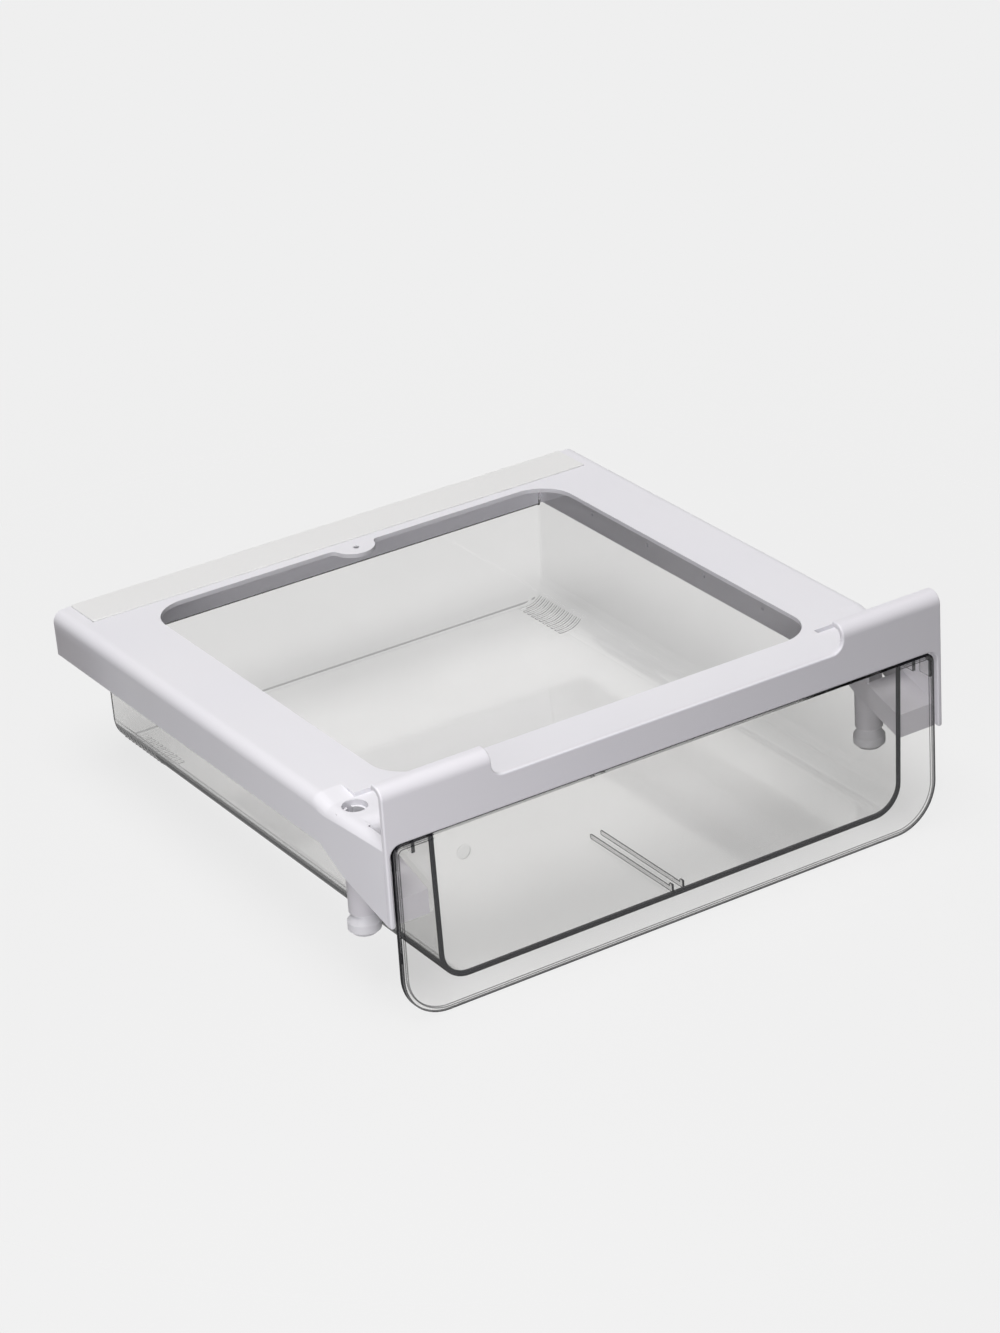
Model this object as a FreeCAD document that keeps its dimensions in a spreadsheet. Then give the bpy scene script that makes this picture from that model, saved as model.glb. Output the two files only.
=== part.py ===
import FreeCAD, Part
import math
import os
import Sketcher

# Drawer organizer for a refrigerator: a white shelf frame with a raised front fascia and two
# snap-in feet, and a clear drawer that slides forward out of it.
#
# Frame: millimetres. X runs across the width, -Y is the front, +Z is up. The origin lies in the
# middle of the base: Z = 0 is the lower edge of the drawer's front panel, X = 0 the middle of the
# width, and Y = 0 halfway between the front face and the tub's back.

# ---------------------------------------------------------------------------------------------
# Driving sizes, each in one cell of the sheet
# ---------------------------------------------------------------------------------------------
SIZES = (
    ("shelf_width", 440.0, "outside width over the side skirts"),
    ("overall_depth", 436.0, "front face to the back of the tub"),
    ("shelf_height", 133.0, "top of the shelf plate above the base"),
    ("clip_gap", 0.15, "gap between two pieces that are clipped or bonded together"),
    ("run_gap", 0.3, "gap between the drawer and what it slides past"),
    ("cut_over", 2.0, "how far a cutting outline runs past the face it opens"),
    # shelf frame
    ("plate_thick", 3.0, "thickness of the shelf plate"),
    ("edge_roll", 8.5, "outer radius of the rolled side edges"),
    ("skirt_wall", 2.8, "thickness of the outer skirts"),
    ("skirt_drop", 32.0, "side skirt's lower edge below the plate top"),
    ("back_drop", 33.5, "back skirt's lower edge below the plate top"),
    ("back_lean", 1.8, "how far the back skirt leans forward from its top to its lower edge"),
    ("channel_wide", 30.5, "outer skirt's outside to the far face of the rail wall"),
    ("rail_clear", 1.3, "side clearance between the tub and a rail wall"),
    ("rail_wall", 2.5, "thickness of the inner rail walls"),
    ("rail_drop", 33.0, "rail wall's lower edge below the plate top"),
    ("window_side", 51.2, "width of the plate beside the window"),
    ("window_corner", 28.0, "corner radius of the window"),
    ("window_front", 69.3, "window's front edge behind the front face"),
    ("window_back", 42.1, "window's back edge in front of the frame's back face"),
    ("tab_radius", 15.7, "radius of the round tab at the window's back edge"),
    ("tab_hole", 2.25, "radius of the hole in the tab"),
    ("tab_hole_inset", 4.6, "hole centre in front of the window's back edge"),
    ("tab_foot", 5.0, "radius where the tab runs into the window's back edge"),
    ("strip_end", 14.5, "trim strip's end inside the frame's side"),
    ("strip_depth", 33.4, "front to back size of the rear trim strip"),
    ("strip_seat", 1.0, "depth of the recess for the trim strip"),
    ("strip_proud", 1.0, "trim strip's top above the plate"),
    ("strip_corner", 1.5, "corner radius of the trim strip"),
    # lowered front corners, posts and struts
    ("pad_wide", 54.2, "width of a lowered front corner"),
    ("pad_back", 70.5, "riser of a lowered front corner behind the front face"),
    ("pad_drop", 3.0, "height of the riser"),
    ("pad_skin", 1.6, "thickness of a lowered corner over the tub's rim"),
    ("pad_lap", 2.5, "width of the lap that joins a lowered corner to the plate"),
    ("ramp_wide", 22.5, "width over which the riser fades into a ramp"),
    ("ramp_run", 16.0, "length of the ramp behind the riser"),
    ("ramp_clear", 0.05, "how far the ramp's cut ends above the plate"),
    ("slot_inset", 9.0, "outer end of a front slot inside the frame's side"),
    ("slot_long", 61.0, "length of a front slot"),
    ("slot_back", 33.0, "slot's back edge behind the front face"),
    ("slot_corner", 2.0, "corner radius of a front slot"),
    ("slot_roll", 13.0, "outer radius of the rolled edge behind a front slot"),
    ("slot_roll_gap", 3.0, "side clearance between that rolled edge and the tub's walls"),
    ("tongue_drop", 1.0, "front tongue's top below the plate top"),
    ("post_back", 60.5, "post axis behind the front face"),
    ("post_radius", 9.6, "outer radius of a post"),
    ("bore_radius", 8.5, "radius of the bore in a post"),
    ("post_drop", 78.0, "post's lower rim below the plate top"),
    ("rib_wall", 2.0, "thickness of the ribs that hold a post"),
    ("rib_drop", 30.0, "lower edge of the post ribs below the plate top"),
    ("gusset_wall", 4.5, "thickness of the skirt's front gusset"),
    ("gusset_start", 80.0, "where the skirt's lower edge starts to fall, behind the front face"),
    ("gusset_bend", 55.0, "where the gusset's lower edge bends, behind the front face"),
    ("gusset_bend_drop", 45.5, "gusset's lower edge at the bend, below the plate top"),
    ("gusset_toe_drop", 60.5, "gusset's lower edge at the front, below the plate top"),
    ("gusset_blend", 25.0, "rounding of the bends in the gusset's lower edge"),
    ("nose_inset", 1.5, "how far the front end tapers in on each side"),
    ("nose_length", 76.0, "length of that taper"),
    ("strut_front", 7.0, "front face of a strut box behind the front face"),
    ("strut_back", 41.0, "back end of a strut box's top behind the front face"),
    ("strut_top_back", 34.0, "strut box's top at its back end, below the plate top"),
    ("strut_top_front", 45.0, "strut box's top at its front end, below the plate top"),
    ("strut_toe", 62.0, "strut box's lower front edge below the plate top"),
    ("hole_first", 155.3, "first rail hole behind the front face"),
    ("hole_pitch", 69.5, "pitch of the rail holes"),
    ("hole_count", 4, "holes in each rail wall"),
    ("hole_radius", 1.6, "radius of a rail hole"),
    ("hole_drop", 20.5, "rail holes below the plate top"),
    # front fascia
    ("lip_rise", 37.4, "top of the fascia above the plate top"),
    ("fascia_wall", 3.5, "thickness of the fascia"),
    ("lip_depth", 11.5, "depth of the fascia's rolled lip"),
    ("lip_roll", 8.5, "radius of the fascia's rolled lip"),
    ("horn_wide", 81.0, "width of each raised end of the fascia"),
    ("dip_rise", 19.5, "bottom of the dip above the plate top"),
    ("dip_corner", 8.8, "corner radius of the dip"),
    ("fascia_edge", 1.2, "rounding of the fascia's front edges"),
    ("leg_wide", 3.5, "width of a fascia leg"),
    ("arch_corner", 8.0, "corner radius of the arch"),
    ("arch_drop", 4.0, "top of the arch below the plate top"),
    ("leg_drop", 61.3, "lower end of the fascia's legs below the plate top"),
    ("leg_tip", 1.6, "rounding of the legs' lower ends"),
    ("ledge_end", 3.5, "end of the ledge inside the dip's end"),
    ("ledge_thick", 2.4, "thickness of that ledge"),
    # feet
    ("neck_radius", 7.6, "radius of a foot's neck"),
    ("neck_high", 1.9, "height of the neck below the post's rim"),
    ("bulb_radius", 11.0, "largest radius of a foot"),
    ("bulb_top", 5.0, "height of the cone from the neck to the largest radius"),
    ("foot_drop", 93.5, "foot's sole below the plate top"),
    ("sole_radius", 8.0, "radius of the flat sole"),
    ("stud_radius", 8.35, "outer radius of the split stud in the bore"),
    ("stud_wall", 1.8, "wall of the split stud"),
    ("stud_top", 7.0, "stud's upper end below the plate top"),
    ("stud_split", 3.4, "width of the split through the stud"),
    # drawer tub
    ("tub_draft", 2.1, "how far each side wall leans in from rim to floor"),
    ("tub_corner", 21.5, "outer radius between a side wall and the floor"),
    ("tub_wall", 3.6, "thickness of the tub's walls and floor"),
    ("tub_bottom", 114.5, "tub's underside below the plate top"),
    ("tub_back_low", 35.0, "top of the tub's back wall below the plate top"),
    ("tub_back_round", 5.0, "rounding of the tub's upright and lower back edges"),
    ("wing_depth", 11.0, "front to back size of the wings beside the tub's mouth"),
    ("wing_thick", 2.4, "thickness of a wing"),
    ("wing_inset", 0.4, "wing's outer face inside the panel's edge"),
    ("wing_fall", 18.0, "length of a wing's downturned end"),
    ("fin_out", 11.3, "fin under a wing, beside the tub"),
    ("fin_thick", 2.4, "thickness of that fin"),
    ("fin_drop", 7.0, "height of that fin below the wing"),
    ("divider_side", 4.2, "floor rib from the middle"),
    ("divider_wide", 1.4, "width of a floor rib"),
    ("divider_high", 3.0, "height of a floor rib"),
    ("divider_back", 99.0, "back end of a floor rib behind the front face"),
    ("hook_high", 5.5, "height of a floor rib's raised front end"),
    ("hook_long", 3.5, "length of that raised end"),
    ("ridge_count", 11, "cross ridges at each lower back edge"),
    ("ridge_pitch", 5.2, "pitch of the cross ridges"),
    ("ridge_wide", 2.2, "width of a cross ridge"),
    ("ridge_high", 0.7, "height of a cross ridge"),
    ("ridge_first", 7.0, "hindmost ridge in front of the tub's back"),
    ("ridge_reach", 4.0, "how far a ridge runs past the corner's rounding"),
    ("ridge_cap", 0.6, "straight end of a ridge past the middle of the rounding"),
    # drawer front panel
    ("panel_clear", 2.3, "side clearance between the panel and a fascia leg"),
    ("panel_thick", 4.0, "thickness of the front panel"),
    ("panel_drop", 4.6, "top of the panel below the plate top"),
    ("panel_foot", 33.0, "radius of the panel's lower corners"),
    ("panel_shoulder", 7.0, "radius of the panel's upper corners"),
    ("panel_edge", 1.0, "bevel of the panel's front edge"),
    ("gate_radius", 5.0, "radius of the round gate mark in the panel's back"),
    ("gate_side", 51.7, "gate mark from the panel's left edge"),
    ("gate_drop", 26.0, "gate mark below the plate top"),
    ("gate_deep", 0.3, "depth of the gate mark"),
)

doc = FreeCAD.newDocument("drawer_organizer")
sheet = doc.addObject("Spreadsheet::Sheet", "sizes")


class Size:
    """A length worked out from named sizes: its number now, and the text that binds it."""

    def __init__(self, number, text):
        self.number = number
        self.text = text

    @staticmethod
    def of(other):
        if isinstance(other, Size):
            return other
        return Size(float(other), repr(float(other)))

    def _join(self, other, sign, number):
        return Size(number, "(" + self.text + " " + sign + " " + Size.of(other).text + ")")

    def __add__(self, other):
        return self._join(other, "+", self.number + Size.of(other).number)

    def __sub__(self, other):
        return self._join(other, "-", self.number - Size.of(other).number)

    def __mul__(self, other):
        return self._join(other, "*", self.number * Size.of(other).number)

    def __truediv__(self, other):
        return self._join(other, "/", self.number / Size.of(other).number)

    def __neg__(self):
        return Size(0.0, "0") - self


S = {}
for row, (alias, number, meaning) in enumerate(SIZES, start=1):
    sheet.set("A%d" % row, alias)
    sheet.set("B%d" % row, repr(number))
    sheet.set("C%d" % row, meaning)
    sheet.setAlias("B%d" % row, alias)
    S[alias] = Size(float(number), "sizes." + alias)
doc.recompute()

# Levels and stations that several pieces share
half = S["shelf_width"] / 2
front = -S["overall_depth"] / 2
back = S["overall_depth"] / 2
top = S["shelf_height"]
frame_back = back
frame_front = front + S["fascia_wall"] + S["clip_gap"]
plate_low = top - S["plate_thick"]
rail_out = half - S["channel_wide"]
rail_in = rail_out - S["rail_wall"]
skirt_in = half - S["skirt_wall"]
gusset_in = half - S["gusset_wall"]
lowered = top - S["pad_drop"]
pad_low = lowered - S["pad_skin"]
rim_top = pad_low - S["run_gap"]
pad_inner = half - S["pad_wide"]
pad_back = front + S["pad_back"]
slot_back = front + S["slot_back"]
post_side = (rail_out + skirt_in) / 2
post_y = front + S["post_back"]
fascia_half = half - S["nose_inset"]
arch_half = fascia_half - S["leg_wide"]
dip_half = fascia_half - S["horn_wide"]
strip_half = half - S["strip_end"]
tub_half = rail_in - S["rail_clear"]
tub_base_half = tub_half - S["tub_draft"]
panel_half = arch_half - S["panel_clear"]
panel_back = front + S["panel_thick"]
tub_front = panel_back + S["clip_gap"]
tub_low = top - S["tub_bottom"]
over = S["cut_over"]


# ---------------------------------------------------------------------------------------------
# Making outlines and solids from named sizes
# ---------------------------------------------------------------------------------------------
def new_body(name):
    body = doc.addObject("PartDesign::Body", name)
    body.Label = name
    return body


def new_sketch(body, name, plane, offset):
    """Empty sketch on one of the body's own planes, moved along the plane's normal."""
    sketch = body.newObject("Sketcher::SketchObject", name)
    sketch.AttachmentSupport = [(o, "") for o in body.Origin.OriginFeatures if o.Role == plane]
    sketch.MapMode = "FlatFace"
    sketch.setExpression(".AttachmentOffset.Base.z", offset.text)
    return sketch


def pin(sketch, geometry, point, x, y):
    """Fix one point of a sketch at named distances from its origin."""
    for kind, size in (("DistanceX", x), ("DistanceY", y)):
        index = sketch.addConstraint(Sketcher.Constraint(kind, -1, 1, geometry, point, size.number))
        sketch.setExpression("Constraints[%d]" % index, size.text)


def outline(sketch, corners):
    """Closed outline through corners (x, y) or (x, y, radius), rounded where a radius is given."""
    count = len(corners)
    points = [FreeCAD.Vector(Size.of(c[0]).number, Size.of(c[1]).number, 0) for c in corners]
    starts = []
    ends = []
    rounds = []
    for i, corner in enumerate(corners):
        here = points[i]
        if len(corner) == 2:
            starts.append(here)
            ends.append(here)
            rounds.append(None)
            continue
        radius = corner[2].number
        toward_last = (points[i - 1] - here).normalize()
        toward_next = (points[(i + 1) % count] - here).normalize()
        half_angle = toward_last.getAngle(toward_next) / 2
        reach = radius / math.tan(half_angle)
        middle = (toward_last + toward_next).normalize()
        centre = here + middle * (radius / math.sin(half_angle))
        ends.append(here + toward_last * reach)
        starts.append(here + toward_next * reach)
        left_turn = toward_last.cross(toward_next).z < 0
        rounds.append((centre, radius, left_turn))
    lines = []
    for i in range(count):
        lines.append(sketch.addGeometry(Part.LineSegment(starts[i], ends[(i + 1) % count])))
    for i, corner in enumerate(corners):
        x = Size.of(corner[0])
        y = Size.of(corner[1])
        before = lines[i - 1]
        after = lines[i]
        if rounds[i] is None:
            sketch.addConstraint(Sketcher.Constraint("Coincident", before, 2, after, 1))
            pin(sketch, after, 1, x, y)
            continue
        centre, radius, left_turn = rounds[i]
        first, last = (ends[i], starts[i]) if left_turn else (starts[i], ends[i])
        angles = [math.atan2(p.y - centre.y, p.x - centre.x) for p in (first, last)]
        circle = Part.Circle(centre, FreeCAD.Vector(0, 0, 1), radius)
        arc = sketch.addGeometry(Part.ArcOfCircle(circle, angles[0], angles[1]))
        arc_in, arc_out = (1, 2) if left_turn else (2, 1)
        sketch.addConstraint(Sketcher.Constraint("Tangent", before, 2, arc, arc_in))
        sketch.addConstraint(Sketcher.Constraint("Tangent", arc, arc_out, after, 1))
        index = sketch.addConstraint(Sketcher.Constraint("Radius", arc, radius))
        sketch.setExpression("Constraints[%d]" % index, corner[2].text)
        mark = sketch.addGeometry(Part.Point(points[i]), True)
        pin(sketch, mark, 1, x, y)
        sketch.addConstraint(Sketcher.Constraint("PointOnObject", mark, 1, before))
        sketch.addConstraint(Sketcher.Constraint("PointOnObject", mark, 1, after))


def ring(sketch, x, y, radius):
    """Full circle with a named centre and radius."""
    circle = Part.Circle(FreeCAD.Vector(x.number, y.number, 0), FreeCAD.Vector(0, 0, 1), radius.number)
    geometry = sketch.addGeometry(circle)
    index = sketch.addConstraint(Sketcher.Constraint("Radius", geometry, radius.number))
    sketch.setExpression("Constraints[%d]" % index, radius.text)
    pin(sketch, geometry, 3, x, y)


def span(plane, low, high):
    """Sketch offset for a solid between two stations: the normal of XZ_Plane points to -Y."""
    return -high if plane == "XZ_Plane" else low


def extrude(body, name, plane, low, high, kind, draw):
    """Pad or pocket between two stations along the plane's axis, from what draw puts in its sketch."""
    sketch = new_sketch(body, name + "_outline", plane, span(plane, low, high))
    draw(sketch)
    feature = body.newObject("PartDesign::" + kind, name)
    feature.Profile = sketch
    feature.setExpression("Length", (high - low).text)
    feature.Reversed = kind == "Pocket"
    doc.recompute()
    return feature


def pad(body, name, plane, low, high, corners):
    return extrude(body, name, plane, low, high, "Pad", lambda sketch: outline(sketch, corners))


def pocket(body, name, plane, low, high, corners):
    return extrude(body, name, plane, low, high, "Pocket", lambda sketch: outline(sketch, corners))


def pad_ring(body, name, x, y, radius, low, high):
    return extrude(body, name, "XY_Plane", low, high, "Pad", lambda sketch: ring(sketch, x, y, radius))


def pocket_ring(body, name, plane, x, y, radius, low, high):
    return extrude(body, name, plane, low, high, "Pocket", lambda sketch: ring(sketch, x, y, radius))


def box(x_low, x_high, y_low, y_high):
    return [(x_low, y_low), (x_high, y_low), (x_high, y_high), (x_low, y_high)]


def round_box(x_low, x_high, y_low, y_high, radius):
    return [corner + (radius,) for corner in box(x_low, x_high, y_low, y_high)]


def on_side(side, x_near, x_far):
    """The two stations of a pair of distances from the middle, in rising order on either side."""
    return (x_near, x_far) if side > 0 else (-x_far, -x_near)


def mirrored(side, corners):
    """Corners drawn for the right side, placed on either side."""
    if side > 0:
        return corners
    return [(-corner[0],) + tuple(corner[1:]) for corner in reversed(corners)]


def dress_edges(body, kind, name, measure, size, chosen):
    """Fillet or chamfer every edge of the body so far that chosen() picks."""
    base = body.Tip
    edges = ["Edge%d" % (i + 1) for i, edge in enumerate(base.Shape.Edges) if chosen(edge)]
    feature = body.newObject("PartDesign::" + kind, name)
    feature.Base = (base, edges)
    feature.setExpression(measure, size.text)
    doc.recompute()
    return feature


def round_edges(body, name, radius, chosen):
    return dress_edges(body, "Fillet", name, "Radius", radius, chosen)


def bevel_edges(body, name, width, chosen):
    return dress_edges(body, "Chamfer", name, "Size", width, chosen)


def near(value, size):
    return abs(value - size.number) < 1e-3


def ends_match(edge, test):
    """True if both ends and the middle of an edge pass the test."""
    spread = [edge.valueAt(edge.FirstParameter + share * (edge.LastParameter - edge.FirstParameter))
              for share in (0.0, 0.5, 1.0)]
    return all(test(point) for point in spread)


SIDES = ((-1, "left"), (1, "right"))
# tangent length of a rounded 45 degree bend for a radius of 1, and a diagonal's share along each axis
EIGHTH_TURN = math.tan(math.pi / 8)
DIAGONAL = math.sqrt(0.5)

# ---------------------------------------------------------------------------------------------
# Shelf frame: plate with a window, rolled side edges, skirts, rail walls, posts and struts
# ---------------------------------------------------------------------------------------------
frame = new_body("shelf_frame")
roll_in = S["edge_roll"] - S["skirt_wall"]
skirt_low = top - S["skirt_drop"]
rail_low = top - S["rail_drop"]
right_half = [
    (rail_in, plate_low),
    (rail_in, rail_low),
    (rail_out, rail_low),
    (rail_out, plate_low),
    (skirt_in, plate_low, roll_in),
    (skirt_in, skirt_low),
    (half, skirt_low),
    (half, top, S["edge_roll"]),
]
pad(frame, "cover", "XZ_Plane", frame_front, frame_back, right_half + mirrored(-1, right_half))
back_low = top - S["back_drop"]
back_foot = frame_back - S["back_lean"]
pad(frame, "back_skirt", "YZ_Plane", -skirt_in, skirt_in, [
    (frame_back - S["skirt_wall"], plate_low),
    (back_foot - S["skirt_wall"], back_low),
    (back_foot, back_low),
    (frame_back, plate_low),
])
pocket(frame, "back_draft", "YZ_Plane", -(half + over), half + over, [
    (frame_back, plate_low),
    (back_foot, back_low),
    (back_foot, back_low - over),
    (frame_back + over, back_low - over),
    (frame_back + over, plate_low),
])

window_back = frame_back - S["window_back"]
window_half = half - S["window_side"]
pocket(frame, "window", "XY_Plane", plate_low - over, top + over,
       round_box(-window_half, window_half, front + S["window_front"], window_back, S["window_corner"]))
pad_ring(frame, "tab", Size.of(0), window_back, S["tab_radius"], plate_low, top)
round_edges(frame, "tab_feet", S["tab_foot"],
            lambda edge: ends_match(edge, lambda p: near(p.y, window_back)
                                    and near(abs(p.x), S["tab_radius"])))
pocket_ring(frame, "tab_hole", "XY_Plane", Size.of(0), window_back - S["tab_hole_inset"],
            S["tab_hole"], plate_low - over, top + over)
pocket(frame, "strip_recess", "XY_Plane", top - S["strip_seat"], top + over,
       box(-(strip_half + S["clip_gap"]), strip_half + S["clip_gap"],
           frame_back - S["strip_depth"] - S["clip_gap"], frame_back + over))


def lowered_edge(inner, level):
    """Right side's region above a plate at this level: flat from inner out, then down the roll."""
    return [
        (inner, level),
        (half, level, S["edge_roll"]),
        (half, level - S["edge_roll"] * 2),
        (half + over, level - S["edge_roll"] * 2),
        (half + over, top + over),
        (inner, top + over),
    ]


for side, name in SIDES:
    # gusset that carries the skirt down to the toe
    bend_y = front + S["gusset_bend"]
    bend_z = top - S["gusset_bend_drop"]
    gusset_high = top - S["edge_roll"]
    gusset = [
        (frame_front, top - S["gusset_toe_drop"]),
        (bend_y, bend_z, S["gusset_blend"]),
        (front + S["gusset_start"], skirt_low),
        (front + S["gusset_start"], gusset_high),
        (frame_front, gusset_high),
    ]
    x_low, x_high = on_side(side, gusset_in, half)
    pad(frame, "gusset_" + name, "YZ_Plane", x_low, x_high, gusset)

    # the lowered corner: a skin under the plate, then everything above it cut away
    x_low, x_high = on_side(side, pad_inner - S["pad_lap"], skirt_in)
    pad(frame, "pad_skin_" + name, "XY_Plane", pad_low, plate_low,
        box(x_low, x_high, frame_front, pad_back + S["pad_lap"]))
    x_low, x_high = on_side(side, rail_out, skirt_in)
    pad(frame, "pad_floor_" + name, "XY_Plane", lowered - S["plate_thick"], plate_low,
        box(x_low, x_high, slot_back, pad_back + S["ramp_run"]))
    pocket(frame, "pad_drop_" + name, "XZ_Plane", frame_front - over, pad_back,
           mirrored(side, lowered_edge(pad_inner, lowered)))
    ramp_foot = new_sketch(frame, "ramp_foot_" + name, "XZ_Plane", -pad_back)
    outline(ramp_foot, mirrored(side, lowered_edge(half - S["ramp_wide"], lowered)))
    ramp_head = new_sketch(frame, "ramp_head_" + name, "XZ_Plane", -(pad_back + S["ramp_run"]))
    outline(ramp_head, mirrored(side, lowered_edge(half - S["ramp_wide"], top + S["ramp_clear"])))
    ramp = frame.newObject("PartDesign::SubtractiveLoft", "ramp_" + name)
    ramp.Profile = ramp_foot
    ramp.Sections = [ramp_head]
    ramp.Ruled = True
    doc.recompute()

    # post with its bore, and the ribs that hold it
    post_x = post_side * side
    pad_ring(frame, "post_" + name, post_x, post_y, S["post_radius"], top - S["post_drop"], pad_low)
    x_low, x_high = on_side(side, rail_in, skirt_in)
    pad(frame, "post_rib_" + name, "XY_Plane", top - S["rib_drop"], pad_low,
        box(x_low, x_high, post_y - S["rib_wall"] / 2, post_y + S["rib_wall"] / 2))
    pocket_ring(frame, "post_bore_" + name, "XY_Plane", post_x, post_y, S["bore_radius"],
                top - S["post_drop"] - over, top + over)

    # front slot behind the raised end of the fascia
    slot_outer = half - S["slot_inset"]
    x_low, x_high = on_side(side, slot_outer - S["slot_long"], slot_outer)
    pocket(frame, "front_slot_" + name, "XY_Plane", lowered - S["plate_thick"] - over, top + over,
           round_box(x_low, x_high, front + S["lip_depth"], slot_back, S["slot_corner"]))
    slot_inner = slot_outer - S["slot_long"] + S["slot_corner"]
    skin = S["pad_skin"]
    roll_low = lowered - S["slot_roll"] - skin
    roll_back = slot_back + S["slot_roll"] + skin
    rolled_edge = [
        (slot_back, roll_low),
        (slot_back + skin, roll_low),
        (slot_back + skin, lowered - skin, S["slot_roll"] - skin),
        (roll_back, lowered - skin),
        (roll_back, lowered),
        (slot_back, lowered, S["slot_roll"]),
    ]
    for place, x_near, x_far in (
        ("inner", slot_inner, rail_in - S["slot_roll_gap"] - S["rail_clear"] - S["tub_wall"]),
        ("outer", rail_out, slot_outer - S["slot_corner"]),
    ):
        x_low, x_high = on_side(side, x_near, x_far)
        pocket(frame, "roll_gap_" + place + "_" + name, "XY_Plane", pad_low - over, lowered + over,
               box(x_low, x_high, slot_back - over, slot_back + S["slot_roll"]))
        pad(frame, "slot_roll_" + place + "_" + name, "YZ_Plane", x_low, x_high, rolled_edge)

    # the rail wall stops short of the front, where the drawer's wings go
    strut_back = front + S["strut_back"]
    x_low, x_high = on_side(side, rail_in - S["rail_clear"] / 2, rail_out + S["rail_clear"] / 2)
    pocket(frame, "rail_end_" + name, "XY_Plane", rail_low - over, pad_low,
           box(x_low, x_high, frame_front - over, strut_back))

    # strut box: inner wall, sloping top and front face, open below
    strut_front = front + S["strut_front"]
    strut_high_back = top - S["strut_top_back"]
    strut_high_front = top - S["strut_top_front"]
    strut_wall = [
        (strut_front, top - S["strut_toe"]),
        (bend_y, bend_z, S["gusset_blend"]),
        (front + S["gusset_start"], rail_low),
        (front + S["gusset_start"], rail_low + over),
        (strut_back, rail_low + over),
        (strut_back, strut_high_back),
        (strut_front, strut_high_front),
    ]
    x_low, x_high = on_side(side, rail_in, rail_out)
    pad(frame, "strut_wall_" + name, "YZ_Plane", x_low, x_high, strut_wall)
    strut_skin = [
        (strut_front, top - S["strut_toe"]),
        (strut_front + S["rail_wall"], top - S["strut_toe"]),
        (strut_front + S["rail_wall"], strut_high_front - S["rail_wall"]),
        (strut_back, strut_high_back - S["rail_wall"]),
        (strut_back, strut_high_back),
        (strut_front, strut_high_front),
    ]
    x_low, x_high = on_side(side, rail_in, gusset_in)
    pad(frame, "strut_skin_" + name, "YZ_Plane", x_low, x_high, strut_skin)

    # the sides taper in a little towards the fascia
    nose = [
        (half - S["nose_inset"], frame_front - over),
        (half + over, frame_front - over),
        (half + over, frame_front + S["nose_length"]),
        (half, frame_front + S["nose_length"]),
    ]
    pocket(frame, "nose_" + name, "XY_Plane", top - S["leg_drop"] - over, top + over,
           mirrored(side, nose))

    # row of small holes along the rail wall
    x_low, x_high = on_side(side, rail_in - S["rail_clear"] / 2, rail_out + S["rail_clear"] / 2)
    hole = pocket_ring(frame, "rail_hole_" + name, "YZ_Plane", front + S["hole_first"],
                       top - S["hole_drop"], S["hole_radius"], x_low, x_high)
    frame.Tip = hole
    holes = frame.newObject("PartDesign::LinearPattern", "rail_holes_" + name)
    holes.Originals = [hole]
    holes.Direction = (hole.Profile[0], ["H_Axis"])
    holes.setExpression("Length", (S["hole_pitch"] * (S["hole_count"] - 1)).text)
    holes.setExpression("Occurrences", S["hole_count"].text)
    frame.Tip = holes
    doc.recompute()

# the tongue that the fascia's ledge rests on
pocket(frame, "tongue", "XY_Plane", top - S["tongue_drop"], top + over,
       box(-pad_inner, pad_inner, frame_front - over, front + S["lip_depth"] + S["clip_gap"]))

# ---------------------------------------------------------------------------------------------
# Front fascia: a thin wall with a rolled lip, a dip in the middle and a leg at each end
# ---------------------------------------------------------------------------------------------
fascia = new_body("front_fascia")
lip_top = top + S["lip_rise"]
roll_start = lip_top - S["lip_roll"]
dip_top = top + S["dip_rise"]
lip_back = front + S["lip_depth"]
wall_in = front + S["fascia_wall"]
leg_low = top - S["leg_drop"]
face = [
    (-fascia_half, leg_low, S["leg_tip"]),
    (-arch_half, leg_low, S["leg_tip"]),
    (-arch_half, top - S["arch_drop"], S["arch_corner"]),
    (arch_half, top - S["arch_drop"], S["arch_corner"]),
    (arch_half, leg_low, S["leg_tip"]),
    (fascia_half, leg_low, S["leg_tip"]),
    (fascia_half, roll_start),
    (dip_half, roll_start),
    (dip_half, dip_top, S["dip_corner"]),
    (-dip_half, dip_top, S["dip_corner"]),
    (-dip_half, roll_start),
    (-fascia_half, roll_start),
]
pad(fascia, "face", "XZ_Plane", front, wall_in, face)
lip = [
    (front, roll_start - over),
    (wall_in, roll_start - over),
    (wall_in, lip_top - S["fascia_wall"], S["lip_roll"] - S["fascia_wall"]),
    (lip_back, lip_top - S["fascia_wall"]),
    (lip_back, lip_top),
    (front, lip_top, S["lip_roll"]),
]
for side, name in SIDES:
    x_low, x_high = on_side(side, dip_half, fascia_half)
    pad(fascia, "lip_" + name, "YZ_Plane", x_low, x_high, lip)


def on_lip(p):
    """On the outside of the rolled lip: round its axis in front, level behind it."""
    axis_y = front.number + S["lip_roll"].number
    if p.y > axis_y:
        return near(p.z, lip_top)
    reach = math.hypot(p.y - axis_y, p.z - roll_start.number)
    return p.z > roll_start.number - 1e-3 and near(reach, S["lip_roll"])


def on_front_edge(edge):
    """The rim of the face all round, and the ends of both lips; not where the roll begins."""
    level = ends_match(edge, lambda p: near(p.z, roll_start))
    at_end = ends_match(edge, lambda p: near(abs(p.x), dip_half) or near(abs(p.x), fascia_half))
    return (ends_match(edge, lambda p: near(p.y, front)) and not level) or (
        at_end and ends_match(edge, on_lip))


round_edges(fascia, "front_edges", S["fascia_edge"], on_front_edge)
pad(fascia, "ledge", "XZ_Plane", wall_in, lip_back,
    box(-(dip_half - S["ledge_end"]), dip_half - S["ledge_end"], top - S["tongue_drop"],
        top - S["tongue_drop"] + S["ledge_thick"]))

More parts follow.
